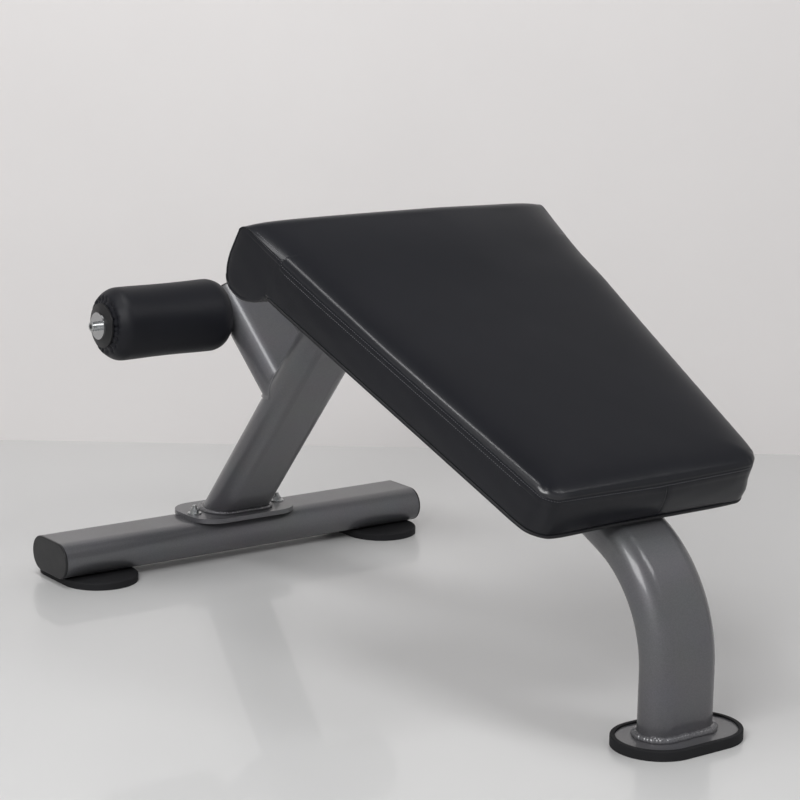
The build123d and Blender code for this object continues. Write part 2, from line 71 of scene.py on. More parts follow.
# ------------------------------------------------- floor, backdrop and light
# A polished pale studio floor that meets a matt pale wall well behind the
# bench, under large soft lamps.
def linear(code):
    """sRGB hex colour as a linear RGBA tuple."""
    channels = [int(code[i : i + 2], 16) / 255 for i in (1, 3, 5)]
    return (*[c / 12.92 if c <= 0.04045 else ((c + 0.055) / 1.055) ** 2.4 for c in channels], 1.0)


def add_node(tree, kind, settings={}, links={}):
    """Adds a node, sets its properties and input values, and links its inputs to sockets."""
    node = tree.nodes.new(kind)
    for name, value in settings.items():
        if isinstance(name, str) and hasattr(node, name):
            setattr(node, name, value)
        else:
            node.inputs[name].default_value = value
    for name, source in links.items():
        tree.links.new(source, node.inputs[name])
    return node


def new_material(name, **settings):
    """Material with one Principled shader, whose sockets take the given constant values."""
    material = bpy.data.materials.new(name)
    material.use_nodes = True
    shader = material.node_tree.nodes["Principled BSDF"]
    for socket, value in settings.items():
        shader.inputs[socket.replace("_", " ")].default_value = value
    return material, material.node_tree, shader


def noise(tree, place, scale, detail):
    """Cloudy noise, about so many clouds to the metre, read at a place."""
    settings = {"Scale": scale, "Detail": detail}
    return add_node(tree, "ShaderNodeTexNoise", settings, {"Vector": place})


def colour_between(tree, shader, first, second, share):
    """Base colour that runs from one hex colour to another with a share from 0 to 1."""
    ends = {"data_type": "RGBA", 6: linear(first), 7: linear(second)}
    tone = add_node(tree, "ShaderNodeMix", ends, {0: share})
    tree.links.new(tone.outputs[2], shader.inputs["Base Color"])


def roughness_between(tree, shader, low, high, share):
    """Roughness that runs from low to high with a share from 0 to 1."""
    dull = add_node(tree, "ShaderNodeMapRange", {"To Min": low, "To Max": high}, {"Value": share})
    tree.links.new(dull.outputs["Result"], shader.inputs["Roughness"])
    return dull


def bumps(tree, shader, strength, distance, height):
    """Surface relief from a height between 0 and 1, that many metres deep."""
    relief = {"Strength": strength, "Distance": distance}
    surface = add_node(tree, "ShaderNodeBump", relief, {"Height": height})
    tree.links.new(surface.outputs["Normal"], shader.inputs["Normal"])


def stage_plane(name, corners, material):
    """One flat rectangle of the studio, clear from behind so that it never hides the bench."""
    tree = material.node_tree
    facing = add_node(tree, "ShaderNodeNewGeometry")
    clear = add_node(tree, "ShaderNodeBsdfTransparent")
    paint = tree.nodes["Principled BSDF"].outputs["BSDF"]
    shown = add_node(
        tree,
        "ShaderNodeMixShader",
        {},
        {0: facing.outputs["Backfacing"], 1: paint, 2: clear.outputs["BSDF"]},
    )
    tree.links.new(shown.outputs["Shader"], tree.nodes["Material Output"].inputs["Surface"])
    mesh = bpy.data.meshes.new(name)
    mesh.from_pydata(corners, [], [(0, 1, 2, 3)])
    mesh.materials.append(material)
    plane = bpy.data.objects.new(name, mesh)
    scene.collection.objects.link(plane)


# Two-part floor paint, rolled and polished: near-white, with a soft mirror in it.
floor_paint, tree, shader = new_material(
    "polished_floor_paint",
    Roughness=0.32,
    Specular_IOR_Level=0.35,
    Coat_Weight=0.35,
    Coat_Roughness=0.05,
)
place = add_node(tree, "ShaderNodeTexCoord")
cloud = noise(tree, place.outputs["Object"], 1.6, 5.0)
colour_between(tree, shader, "#d3d3d3", "#dbdbda", cloud.outputs["Fac"])

# Matt emulsion on plaster: slightly warm, with a faint cloudiness.
wall_paint, tree, shader = new_material(
    "matt_wall_emulsion", Roughness=0.85, Specular_IOR_Level=0.3
)
place = add_node(tree, "ShaderNodeTexCoord")
cloud = noise(tree, place.outputs["Object"], 2.2, 6.0)
colour_between(tree, shader, "#e6e3e2", "#ece9e8", cloud.outputs["Fac"])

floor_reach = 9
stage_plane(
    "studio_floor",
    [(floor_reach * x, floor_reach * y, 0) for x, y in ((-1, -1), (1, -1), (1, 1), (-1, 1))],
    floor_paint,
)
wall_foot = Vector((-1.302, 0.378, 0))
wall_run = Vector((0.595, 0.804, 0)) * 7
wall_rise = Vector((0, 0, 1.5))
wall_left, wall_right = wall_foot - wall_run, wall_foot + wall_run
stage_plane(
    "studio_wall",
    [wall_left, wall_right, wall_right + wall_rise, wall_left + wall_rise],
    wall_paint,
)


def softbox(name, place, target, size, power):
    """Rectangular soft lamp at a place, turned towards a target."""
    lamp = bpy.data.lights.new(name, "AREA")
    lamp.shape = "RECTANGLE"
    lamp.size, lamp.size_y = size
    lamp.energy = power
    holder = bpy.data.objects.new(name, lamp)
    aim = Vector(target) - Vector(place)
    turned = aim.to_track_quat("-Z", "Y").to_matrix().to_4x4()
    holder.matrix_world = Matrix.Translation(place) @ turned
    scene.collection.objects.link(holder)


softbox("overhead_softbox", (-0.28, -0.58, 2.6), (-0.28, -0.58, 0), (1.2, 0.6), 18)
softbox("left_softbox", (1.5, -2.35, 2.4), (0, 0, 0.3), (1.5, 1.3), 52)
softbox("right_strip", (1.75, 1.1, 2.5), (0.3, 0, 0.3), (0.7, 0.9), 13)

# the air of the room is bright round the walls and dimmer towards the ceiling
scene.world = bpy.data.worlds.new("studio_air")
scene.world.use_nodes = True
tree = scene.world.node_tree
sky = tree.nodes["Background"]
place = add_node(tree, "ShaderNodeTexCoord")
rise = add_node(tree, "ShaderNodeSeparateXYZ", {}, {"Vector": place.outputs["Generated"]})
dimming = add_node(
    tree,
    "ShaderNodeMapRange",
    {"From Min": 0.2, "From Max": 0.68, "To Min": 0.7, "To Max": 0.3},
    {"Value": rise.outputs["Z"]},
)
sky.inputs["Color"].default_value = linear("#f2f2f3")
tree.links.new(dimming.outputs["Result"], sky.inputs["Strength"])
scene.view_settings.view_transform = "Standard"


# ------------------------------------------------------------ welded frame
# Flat-oval steel tube and plate, mitre-bent and welded, then powder-coated in
# one silver-grey metallic coat: satin, with fine flakes and orange peel.
def finish(material, *names):
    """Gives CAD nodes one finish in place of the plain one they come with."""
    for name in names:
        nodes[name].data.materials.clear()
        nodes[name].data.materials.append(material)


powder_coat, tree, shader = new_material(
    "silver_grey_metallic_powder_coat", Metallic=0.5, Coat_Weight=0.6, Coat_Roughness=0.13
)
place = add_node(tree, "ShaderNodeTexCoord")
# aluminium flakes sparkle in the coat: 0.05 mm across, drawn at 1.3 mm to show
flakes = add_node(
    tree, "ShaderNodeTexVoronoi", {"Scale": 770.0}, {"Vector": place.outputs["Object"]}
)
drift = noise(tree, place.outputs["Object"], 14.0, 3.0)
flake_tone = add_node(
    tree,
    "ShaderNodeMix",
    {"data_type": "RGBA", 6: linear("#5f5f62"), 7: linear("#69696c")},
    {0: flakes.outputs["Color"]},
)
coat_tone = add_node(
    tree,
    "ShaderNodeMix",
    {"data_type": "RGBA", "blend_type": "MULTIPLY", 0: 0.12},
    {6: flake_tone.outputs[2], 7: drift.outputs["Color"]},
)
tree.links.new(coat_tone.outputs[2], shader.inputs["Base Color"])
roughness_between(tree, shader, 0.42, 0.52, drift.outputs["Fac"])
# orange peel: the coat's low waves, 3 mm long, that break up its reflections
peel = noise(tree, place.outputs["Object"], 330.0, 2.0)
bumps(tree, shader, 0.35, 0.00006, peel.outputs["Fac"])
finish(
    powder_coat,
    "stabilizer_tube",
    "base_flange_plate",
    "upright_tube",
    "beam_tube",
    "front_leg_tube",
    "front_foot_plate",
    "rear_arm_tube",
    "pad_brackets",
)


# ------------------------------------------------------------- weld beads
# Fillet welds laid by hand: overlapping ripples about 4 mm apart, a little
# uneven, with the powder coat drawn smooth and glossy over them.
weld_coat = powder_coat.copy()
weld_coat.name = "powder_coat_drawn_glossy_over_weld"
shader = weld_coat.node_tree.nodes["Principled BSDF"]
shader.inputs["Coat Weight"].default_value = 1.0
shader.inputs["Coat Roughness"].default_value = 0.05
tube_half_width = 0.060
tube_half_depth = 0.030


def oval_line(count):
    """Flat-oval tube section as points across the width and depth: two straight flats
    joined by half circles, spaced evenly along its length, with its outward normals."""
    flat = 2 * (tube_half_width - tube_half_depth)
    arc = pi * tube_half_depth
    along = (np.arange(count) / count) * 2 * (flat + arc)
    half = flat + arc
    side = np.where(along < half, 1.0, -1.0)
    along = along % half
    angle = np.clip((along - flat) / tube_half_depth, 0, pi)
    on_flat = along < flat
    across = np.where(on_flat, -flat / 2 + along, flat / 2 + tube_half_depth * np.sin(angle))
    deep = np.where(on_flat, tube_half_depth, tube_half_depth * np.cos(angle))
    normal = [np.where(on_flat, 0.0, np.sin(angle)), np.where(on_flat, 1.0, np.cos(angle))]
    return side[:, None] * np.stack([across, deep], -1), side[:, None] * np.stack(normal, -1)


def grid_faces(rings, around, wrap=True, first=0):
    """Quads between neighbouring rings of points, numbered ring by ring. A wrapped ring
    joins its last point to its first."""
    steps = around if wrap else around - 1
    ring, step = np.meshgrid(np.arange(rings - 1), np.arange(steps), indexing="ij")
    following = (step + 1) % around
    near, far = ring * around + step, ring * around + following
    return first + np.stack([near, far, far + around, near + around], -1).reshape(-1, 4)


def new_piece(name, points, faces, material, body="frame", marks={}):
    """Mesh piece from points and quads: doubles merged, faces turned outward, smooth.
    Marks are numbers, one for each point, that the material reads by name."""
    mesh = bpy.data.meshes.new(name)
    mesh.from_pydata(np.asarray(points).reshape(-1, 3).tolist(), [], np.asarray(faces).tolist())
    for label, values in marks.items():
        mesh.attributes.new(label, "FLOAT", "POINT").data.foreach_set("value", values)
    shape = bmesh.new()
    shape.from_mesh(mesh)
    bmesh.ops.remove_doubles(shape, verts=shape.verts, dist=1e-6)
    bmesh.ops.recalc_face_normals(shape, faces=shape.faces)
    shape.to_mesh(mesh)
    shape.free()
    mesh.shade_smooth()
    mesh.materials.append(material)
    piece = bpy.data.objects.new(name, mesh)
    scene.collection.objects.link(piece)
    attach(piece, body)
    return piece


def unit(vectors):
    """Vectors scaled to length one."""
    return vectors / np.linalg.norm(vectors, axis=-1, keepdims=True)


def weld_bead(name, path, up_wall, over_plate, outward, leg, seed, loop=True):
    """Fillet weld: a quarter round from the wall to the plate, carried along the joint
    and raised where the two faces run on in line. It swells with each ripple, and the
    ripples trail back in the middle of the bead. Its leg varies by a sum of slow sines.
    One that isn't a loop tapers out."""
    ripple_pitch = 0.0042
    gaps = np.linalg.norm(np.roll(path, -1, axis=0) - path, axis=1)
    run = np.concatenate([[0], np.cumsum(gaps)[:-1]])
    whole = gaps.sum() if loop else run[-1]
    phase = 2 * pi * run / whole
    uneven = sum(
        weight * np.sin(waves * phase + seed * (waves + 1.7))
        for waves, weight in ((3, 0.06), (7, 0.06), (13, 0.05), (29, 0.04))
    )
    t = np.linspace(0, 1, 11)[:, None]
    ripple = 0.5 + 0.5 * np.cos(round(whole / ripple_pitch) * phase + 2.4 * np.sin(pi * t))
    size = leg * (1.04 + uneven + 0.09 * ripple * np.sin(pi * t))
    ends = np.ones(len(path)) if loop else np.sqrt(np.clip(np.sin(pi * run / whole), 0, 1))
    proud = 0.45 * np.maximum(-np.sum(up_wall * over_plate, axis=-1), 0)
    belly = (
        np.cos(t * pi / 2)[..., None] * up_wall
        + np.sin(t * pi / 2)[..., None] * over_plate
        + (proud * np.sin(pi * t))[..., None] * outward
    )
    root = -0.0015 * outward[None]
    section = np.concatenate([root, size[..., None] * belly, root]) * ends[:, None]
    return new_piece(name, path + section, grid_faces(13, len(path), loop), weld_coat)


# the front leg stands on its foot plate, with the widest bead
joint_points = 720
joint, face = oval_line(joint_points)
no_height = np.zeros(joint_points)
foot_plate_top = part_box("front_foot_plate")[1].z
leg_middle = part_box("front_leg_tube")[1].x - tube_half_depth
path = np.stack([leg_middle + joint[:, 1], joint[:, 0], no_height + foot_plate_top], -1)
over = np.stack([face[:, 1], face[:, 0], no_height], -1)
rise = np.tile([0.0, 0.0, 1.0], (joint_points, 1))
weld_bead("front_leg_weld", path, rise, over, unit(rise + over), leg=0.0075, seed=0.6)

# the upright leans 40 degrees, so its foot is a longer oval, and it stands a
# little ahead of the middle of the flange plate
lean = radians(40)
upright_lead = 0.0025
up_tube = np.array([sin(lean), 0, cos(lean)])
flange_low, flange_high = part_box("base_flange_plate")
upright_foot = np.array([(flange_low.x + flange_high.x) / 2 + upright_lead, 0, flange_high.z])
path = upright_foot + np.stack([joint[:, 1] / cos(lean), joint[:, 0], no_height], -1)
over = unit(np.stack([face[:, 1] * cos(lean), face[:, 0], no_height], -1))
rise = np.tile(up_tube, (joint_points, 1))
weld_bead("upright_weld", path, rise, over, unit(unit(rise + over)), leg=0.0068, seed=2.1)

# the roller arm is as wide as the upright, so its end is saddled over it
arm_station = 0.312
along_arm = np.array([-cos(lean), 0, sin(lean)])
arm_root = upright_foot + up_tube * arm_station
across = np.array([0.0, 1.0, 0.0])
past_flat = np.clip(np.abs(joint[:, 0]) / tube_half_depth - 1, 0, 1)
saddle = np.sqrt(1 - past_flat**2)
reach = tube_half_depth * saddle
path = arm_root + joint[:, :1] * across + joint[:, 1:] * up_tube + reach[:, None] * along_arm
upright_face = np.sign(joint[:, :1]) * past_flat[:, None] * across + saddle[:, None] * along_arm
arm_face = face[:, :1] * across + face[:, 1:] * up_tube
over = arm_face - np.sum(arm_face * upright_face, axis=1, keepdims=True) * upright_face
over = unit(over + 0.02 * face[:, 1:] * up_tube - 0.02 * past_flat[:, None] * along_arm)
rise = np.tile(along_arm, (joint_points, 1))
weld_bead(
    "roller_arm_weld", path, rise, over, unit(arm_face + upright_face), leg=0.0034, seed=1.3
)

# the sloping beam is butted between the two bent tubes, at the middles of its ends
pad_slope = radians(25)
up_pad = np.array([-cos(pad_slope), 0, sin(pad_slope)])
off_pad = np.array([sin(pad_slope), 0, cos(pad_slope)])
beam_face = face[:, :1] * across + face[:, 1:] * off_pad
for name, middle in (
    ("beam_rear_weld", np.array([0.0361, 0, 0.4799])),
    ("beam_front_weld", np.array([0.3907, 0, 0.3146])),
):
    path = middle + joint[:, :1] * across + joint[:, 1:] * off_pad
    rise = np.tile(up_pad, (joint_points, 1))
    weld_bead(name, path, rise, -rise, beam_face, leg=0.0032, seed=middle[0] * 9)

# two short beads hold each pad bracket across the flat of the beam. The pad's
# origin is the middle of its low edge, on the underside of its felt backing.
pad_origin = np.array([0.511, 0, 0.296])
bracket_half_width, bracket_thickness = 0.025, 0.004
line = np.linspace(-0.027, 0.027, 80)
for place_name, station in (("low", 0.085), ("high", 0.455)):
    for side_name, side in (("front", -1), ("rear", 1)):
        edge = station + side * bracket_half_width
        path = pad_origin + edge * up_pad - bracket_thickness * off_pad + line[:, None] * across
        rise = np.tile(off_pad, (len(line), 1))
        over = np.tile(side * up_pad, (len(line), 1))
        weld_bead(
            f"bracket_weld_{place_name}_{side_name}",
            path,
            rise,
            over,
            unit(rise + over),
            leg=0.0035,
            seed=station + side,
            loop=False,
        )


# ------------------------------------------------------ bolts and axle steel
# Bright zinc-plated fasteners, a burnished washer on each end of the axle,
# and the plain drawn-steel axle with its cross tube and roller sleeves.
zinc_plate, tree, shader = new_material("bright_zinc_plate", Metallic=1.0)
place = add_node(tree, "ShaderNodeTexCoord")
# passivation clouds a few millimetres across, pale blue to straw
cloud = noise(tree, place.outputs["Object"], 240.0, 3.0)
colour_between(tree, shader, "#aeb3b9", "#c6c5c0", cloud.outputs["Fac"])
roughness_between(tree, shader, 0.2, 0.38, cloud.outputs["Fac"])
finish(
    zinc_plate,
    "base_bolts",
    "base_nuts",
    "base_washers",
    "rear_foot_screws",
    "end_screws",
    "pad_bolts",
    "pad_washers",
    "pad_t_nuts",
    "thrust_washers",
)

# The end washers are turned and buffed: rings 0.6 mm apart around the axle.
turning_pitch = 0.0006
axle_low, axle_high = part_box("roller_axle")
axle_x, axle_z = (axle_low.x + axle_high.x) / 2, (axle_low.z + axle_high.z) / 2
buffed_zinc, tree, shader = new_material(
    "buffed_zinc_washer", Metallic=1.0, Base_Color=linear("#d2d3d4")
)
place = add_node(tree, "ShaderNodeTexCoord")
centred = add_node(
    tree,
    "ShaderNodeMapping",
    {"Location": (-axle_x, 0.0, -axle_z)},
    {"Vector": place.outputs["Object"]},
)
flattened = add_node(
    tree,
    "ShaderNodeVectorMath",
    {"operation": "MULTIPLY", 1: (1.0, 0.0, 1.0)},
    {0: centred.outputs["Vector"]},
)
radius = add_node(
    tree, "ShaderNodeVectorMath", {"operation": "LENGTH"}, {0: flattened.outputs["Vector"]}
)
turns = add_node(
    tree,
    "ShaderNodeMath",
    {"operation": "MULTIPLY", 1: 2 * pi / turning_pitch},
    {0: radius.outputs["Value"]},
)
wave = add_node(tree, "ShaderNodeMath", {"operation": "SINE"}, {0: turns.outputs["Value"]})
rub = add_node(
    tree,
    "ShaderNodeMapRange",
    {"From Min": -1.0, "To Min": 0.10, "To Max": 0.17},
    {"Value": wave.outputs["Value"]},
)
bumps(tree, shader, 0.1, 0.00001, wave.outputs["Value"])
tree.links.new(rub.outputs["Result"], shader.inputs["Roughness"])
finish(buffed_zinc, "end_washers")

# Cold-drawn bar and tube: grey, with fine draw lines running along the axle.
drawn_steel, tree, shader = new_material("cold_drawn_steel", Metallic=1.0)
place = add_node(tree, "ShaderNodeTexCoord")
drawn = add_node(
    tree, "ShaderNodeMapping", {"Scale": (1.0, 0.02, 1.0)}, {"Vector": place.outputs["Object"]}
)
lines = noise(tree, drawn.outputs["Vector"], 1400.0, 2.0)
colour_between(tree, shader, "#7c7e80", "#96989a", lines.outputs["Fac"])
roughness_between(tree, shader, 0.28, 0.45, lines.outputs["Fac"])
finish(drawn_steel, "axle_cross_tube", "roller_axle", "roller_sleeve_left", "roller_sleeve_right")


# --------------------------------------------------- rubber feet and end caps
# Moulded rubber pads under the base and a rubber boot round the front foot
# plate; polyethylene caps pressed into the tube ends and the roller ends.
foot_rubber, tree, shader = new_material("moulded_black_rubber", Specular_IOR_Level=0.2)
place = add_node(tree, "ShaderNodeTexCoord")
# the mould's spark-eroded texture, 0.8 mm, leaves it dull, and dust greys it
grit = noise(tree, place.outputs["Object"], 1250.0, 2.0)
dust = noise(tree, place.outputs["Object"], 35.0, 4.0)
colour_between(tree, shader, "#1b1b1d", "#262628", dust.outputs["Fac"])
roughness_between(tree, shader, 0.6, 0.8, dust.outputs["Fac"])
bumps(tree, shader, 0.5, 0.00008, grit.outputs["Fac"])
finish(foot_rubber, "rear_foot_pad_left", "rear_foot_pad_right", "front_foot_boot")

# injection-moulded polyethylene: fine grain, 1 mm, with slightly polished patches
cap_plastic, tree, shader = new_material("moulded_black_polyethylene", Specular_IOR_Level=0.4)
place = add_node(tree, "ShaderNodeTexCoord")
grain = add_node(
    tree, "ShaderNodeTexVoronoi", {"Scale": 1000.0}, {"Vector": place.outputs["Object"]}
)
patch = noise(tree, place.outputs["Object"], 60.0, 2.0)
colour_between(tree, shader, "#161617", "#1d1d1f", patch.outputs["Fac"])
roughness_between(tree, shader, 0.34, 0.5, patch.outputs["Fac"])
bumps(tree, shader, 0.25, 0.00005, grain.outputs["Distance"])
finish(
    cap_plastic,
    "stabilizer_cap_left",
    "stabilizer_cap_right",
    "rear_arm_cap",
    "roller_inner_cup_left",
    "roller_inner_cup_right",
    "roller_outer_cup_left",
    "roller_outer_cup_right",
)


# ----------------------------------------------------------- pad upholstery
# Foam glued to a plywood board, under black upholstery vinyl. The top panel is
# sewn to a side band, and the high end is rolled under as a knee roll. The cover
# is pulled tight by hand and stapled under the board.
pad_length = 0.6955
low_half_width = 0.1965
high_half_width = 0.2855
flare = (high_half_width - low_half_width) / pad_length
slant = sqrt(1 + flare**2)
low_corner = 0.028
rim_round = 0.0025
felt_thickness = 0.003
ridge_end = 0.590

# the back's upper quarter, and the knee roll below it
crown_height = 0.0807
back_middle, back_run, back_bulge = 0.0301, 0.0343, 0.0038
crown_power = 2.8
roll_station = 0.6575
roll_front_radius = 0.058
roll_back_radius = 0.038
roll_back_power = 3.6
roll_lowest = -0.0325
notch_station = 0.60404


def smooth_step(low, high, value):
    """0 below low, 1 above high, and an S-curve between them."""
    t = np.clip((value - low) / (high - low), 0, 1)
    return t * t * (3 - 2 * t)


def hump(centre, width, value):
    """Bell curve, 1 at its centre."""
    return np.exp(-(((value - centre) / width) ** 2))


def on_pad(u, y, n):
    """Points at station u up the slope, y across and n square to the board. The cover
    was pulled by hand, so it sits a few millimetres out of square: the hem towards the
    left along the side and outwards under the low end, the low corners tucked in, the
    right side drawn in above the board, and the roll's two ends sagging."""
    low = np.clip(1 - n / 0.066, 0, 1.1)
    above_board = smooth_step(0.018, 0.044, n)
    left, right = smooth_step(0.05, 0.19, -y), smooth_step(0.05, 0.19, y)
    near_corner = np.exp(-((u - 0.006) ** 2 + (np.abs(y) - 0.190) ** 2) / 0.024**2)
    tucked = near_corner * (left * 0.0042 * low + right * (0.0010 + 0.0022 * above_board))
    y = y - low * 0.0018 * left * (1 - smooth_step(0.55, 0.62, u)) - tucked * np.sign(y)
    drawn_in = smooth_step(0.46, 0.55, u) + 0.4 * np.exp(-np.maximum(u, 0) / 0.05)
    y = y - 0.0030 * right * above_board * drawn_in
    at_low_end = np.exp(-((np.maximum(u, 0) / 0.06) ** 2))
    u = u - at_low_end * (0.0025 + 0.0030 * low * left) + tucked
    sag = smooth_step(0.625, 0.660, u) * smooth_step(0.07, 0.16, np.abs(y))
    u = u + 0.0040 * sag * hump(0.004, 0.022, n)
    n = n - 0.0052 * sag * (1 - smooth_step(-0.012, 0.025, n))
    n = n - 0.0020 * (1 - low) * right * smooth_step(0.46, 0.56, u)
    return pad_origin + u[..., None] * up_pad + y[..., None] * across + n[..., None] * off_pad


def edge_distance(u, y):
    """How far a plan point lies inside the pad's low end and sides, which are joined
    by corner arcs. The high end isn't counted."""
    side = (low_half_width + flare * u - np.abs(y)) / slant
    along = u - low_corner
    beside = np.abs(y) - (low_half_width + (flare - slant) * low_corner)
    at_arc = (beside > 0) & (along + flare * beside < 0)
    return np.where(at_arc, low_corner - np.hypot(along, beside), np.minimum(side, u))


def half_width(u):
    """Half the pad's width: the flared side, with the arc that rounds it into the low
    end and the small one that rounds it into the high end."""
    side = low_half_width + flare * u
    middle = low_half_width + (flare - slant) * low_corner
    low = middle + np.sqrt(np.maximum(low_corner**2 - (u - low_corner) ** 2, 0))
    high_middle = low_half_width + flare * (pad_length - rim_round) - slant * rim_round
    high = high_middle + np.sqrt(np.maximum(rim_round**2 - (u - pad_length + rim_round) ** 2, 0))
    side = np.where(u < low_corner * (1 - flare / slant), low, side)
    return np.where(u > pad_length - rim_round * (1 + flare / slant), high, side)


def crown_line(u):
    """Height of the top: level, then a quarter of an ellipse made fuller by a power
    above 2, down to the back."""
    run = np.clip((u - pad_length - back_bulge) / back_run + 1, 0, 1)
    fall = (1 - run**crown_power) ** (1 / crown_power)
    return back_middle + (crown_height - back_middle) * fall


def under_line(u):
    """Height of the underside: the board, then the knee roll's round front and its
    back, made fuller by a power above 2."""
    arc = np.where(u > roll_station, roll_back_radius, roll_front_radius)
    power = np.where(u > roll_station, roll_back_power, 2.0)
    run = np.clip(np.abs(u - roll_station) / arc, 0, 1)
    roll = roll_lowest + arc * (1 - (1 - run**power) ** (1 / power))
    return np.where(u > notch_station, roll, felt_thickness)


def inside_arc(run, rise, run_radius, rise_radius, power):
    """How far a point lies inside an ellipse with a power of its own, measured along
    the line to its middle."""
    share = ((run / run_radius) ** power + (rise / rise_radius) ** power) ** (1 / power)
    return np.hypot(run, rise) * (1 / (share + 1e-9) - 1)


def roll_rim_distance(u, n):
    """How far a point of the roll's flat end lies inside its outline, seen from the
    side: the nearest of the crown line, the back and the two arcs below."""
    run = np.maximum(u - pad_length - back_bulge + back_run, 0)
    rise = np.maximum(n - back_middle, 0)
    corner = inside_arc(run, rise, back_run, crown_height - back_middle, crown_power)
    corner = np.minimum(corner, pad_length - u)
    arc = np.where(u > roll_station, roll_back_radius, roll_front_radius)
    power = np.where(u > roll_station, roll_back_power, 2.0)
    drop = np.maximum(roll_lowest + arc - n, 0)
    below = inside_arc(np.abs(u - roll_station), drop, arc, arc, power)
    flat = np.where((run > 0) & (rise > 0), corner, np.minimum(crown_height - n, pad_length - u))
    return np.where(drop > 0, np.minimum(flat, below), flat)


def loose_cover(a, b, seed):
    """Slow unevenness of hand-pulled vinyl, from -1 to 1: products of sines 90 to
    260 mm long that don't fall in step."""
    slow = np.sin(a * 2 * pi / 0.26 + seed) * np.sin(b * 2 * pi / 0.19 + 2.1 * seed)
    quick = np.sin(a * 2 * pi / 0.125 + 3.3 * seed + b * 9) * np.sin(b * 2 * pi / 0.09 + seed)
    return (slow + 0.6 * quick) / 1.6


def gathers(run, seed):
    """Little puckers along a seam, from -1 to 1: sines 9 to 31 mm long."""
    return (
        0.4 * np.sin(run * 2 * pi / 0.031 + seed)
        + 0.35 * np.sin(run * 2 * pi / 0.0173 + 2 * seed)
        + 0.25 * np.sin(run * 2 * pi / 0.0091 + 5 * seed)
    )


def spaced(*gaps):
    """Places in metres along an edge, from millimetres."""
    return np.array(gaps) / 1000


# plan grid: rows up the slope and columns across, close together at the edges, at
# the end of the ridge, at the notch in front of the roll and at the lap seam
near_edge = spaced(0, 0.3, 0.8, 1.4, 2.1, 2.9, 3.8, 4.8, 6, 7.4, 9, 11, 13.5, 16.5, 20, 24, 28)
near_ridge_end = spaced(-7, -5, -3.6, -2.6, -1.8, -1.1, -0.5, 0, 0.6, 1.4, 2.6, 4.2, 6.2)
near_notch = spaced(
    *(-6, -4.5, -2.6, -1.3, -0.5, 0, 0.5, 1.2, 2.2, 3.6, 5.4, 8, 11),
    *(15, 19, 24, 29, 34, 39, 44, 49, 53.5, 58, 62),
)
near_back = spaced(
    *(0, 0.1, 0.3, 0.6, 1.0, 1.6, 2.3, 3.0, 3.8, 4.6, 5.2, 5.7),
    *(6.1, 6.6, 7.2, 8.0, 9.2, 11, 13.3, 16, 19.2, 22.5, 26),
)
near_lap = spaced(-12, -8, -5, -3, -1.6, -0.7, 0, 0.5, 1.1, 2, 3.4, 5.5, 8.5, 13)
rows = np.concatenate(
    [
        near_edge,
        np.linspace(0.032, 0.579, 133),
        ridge_end + near_ridge_end,
        notch_station + near_notch,
        (pad_length - near_back)[::-1],
    ]
)
lap = 0.015
low_inner_half = 0.1405
lap_columns = (lap + near_lap) / low_inner_half
inner = np.sort(np.concatenate([np.linspace(-1, 1, 47), lap_columns]))
widths = half_width(rows)[:, None]
left_columns = -widths + near_edge[:-1]
right_columns = (widths - near_edge[:-1])[:, ::-1]
y_grid = np.concatenate([left_columns, inner * (widths - near_edge[-1]), right_columns], axis=1)
u_grid = np.repeat(rows[:, None], y_grid.shape[1], axis=1)

# top panel: rises from the seam in a rolled ridge, then levels off within a few
# centimetres. Past the end of the ridge the seam is folded flat, and the top runs
# down to it at a slant.
inside = np.maximum(edge_distance(u_grid, y_grid), 0)
ridge = 1 - smooth_step(ridge_end - 0.0028, ridge_end + 0.0012, u_grid)
low_middle = np.clip(1 - np.abs(y_grid) / 0.15, 0, 1) * np.exp(-u_grid / 0.05)
seam_height = np.interp(u_grid, [0, 0.5, 0.585], [0.0655, 0.0660, 0.0680]) - 0.003 * low_middle
ridge_height = np.interp(
    u_grid, [0, 0.08, 0.2, 0.35, 0.45, 0.6], [0.0070, 0.0066, 0.0054, 0.0056, 0.0074, 0.0082]
)
turned = np.sqrt(1 - (1 - np.clip(inside / ridge_height, 0, 1)) ** 2)
fold_height = np.interp(u_grid, [0.59, 0.64, 0.69], [0.0742, 0.0765, 0.0795])
slant_run = 1 + (fold_height - seam_height - ridge_height) / ridge_height * np.exp(-inside / 0.008)
crown = crown_height + 0.0035 * smooth_step(0.35, 0.66, u_grid) - seam_height - ridge_height
fuller = np.maximum(1 - (np.abs(y_grid) / 0.277) ** 3.5, 0)
middle = 0.0034 * smooth_step(0.45, 0.64, u_grid) * fuller
n_top = seam_height + ridge_height * (turned * ridge + slant_run * (1 - ridge))
n_top += crown * (1 - np.exp(-inside / 0.017)) + middle
n_top -= (crown_height - crown_line(u_grid)) * (n_top - back_middle) / (crown_height - back_middle)
on_flat = smooth_step(0.0, 0.05, inside) * (u_grid < pad_length - back_run)
n_top += 0.00015 * loose_cover(u_grid, y_grid, 0.7) * on_flat
near_seam = np.exp(-inside / 0.008) * smooth_step(0, 0.002, inside)
along_seam = np.where(u_grid < 0.02, y_grid, u_grid)
n_top += 0.0003 * gathers(along_seam, np.sign(y_grid) + 2) * near_seam * ridge

# two tucks fan out from each low corner
bearing = np.arctan2(low_corner - u_grid, np.abs(y_grid) - (low_half_width - low_corner))
at_corner = (u_grid < low_corner + 0.01) & (np.abs(y_grid) > low_half_width - low_corner - 0.01)
for angle, depth in ((0.35, 0.0016), (1.25, 0.0009)):
    n_top -= depth * hump(angle, 0.11, bearing) * hump(0.004, 0.005, inside) * at_corner

